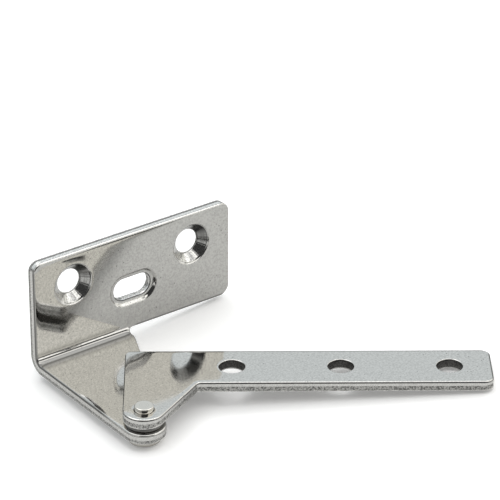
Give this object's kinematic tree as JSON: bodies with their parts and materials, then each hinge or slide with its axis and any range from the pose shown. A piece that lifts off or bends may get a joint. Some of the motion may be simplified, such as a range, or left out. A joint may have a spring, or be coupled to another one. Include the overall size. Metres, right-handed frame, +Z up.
{
  "type": "pivot hinge",
  "caption": "Pressed stainless pivot hinge: an angled bracket screws to a cabinet side and a cranked flat arm carries the door, turning on a headed pin with a thrust washer.",
  "frame": {"origin": "on the pivot axis, at the underside of the pin's lower head", "axes": "+Z up the pivot axis, +X along the bracket's flange, +Y from the pivot to the flange"},
  "size_m": [0.067, 0.0603, 0.0239],
  "materials": {
    "polished_sheet": "stainless sheet, tumbled and polished to a near mirror, with fine scratches and sheared edges",
    "turned_pin": "turned stainless, polished, with fine rings",
    "washer_steel": "pressed stainless ring, satin"
  },
  "bodies": {
    "bracket": {"frame_bracket": "polished_sheet", "pivot_pin": "turned_pin", "thrust_washer": "washer_steel"},
    "arm": {"door_arm": "polished_sheet"}
  },
  "joints": [
    {"name": "arm_swing", "type": "hinge", "parent": "bracket", "child": "arm", "pos_m": [0, 0, 0.00542], "axis": [0, 0, 1], "range_deg": [-243, 46.5]}
  ]
}
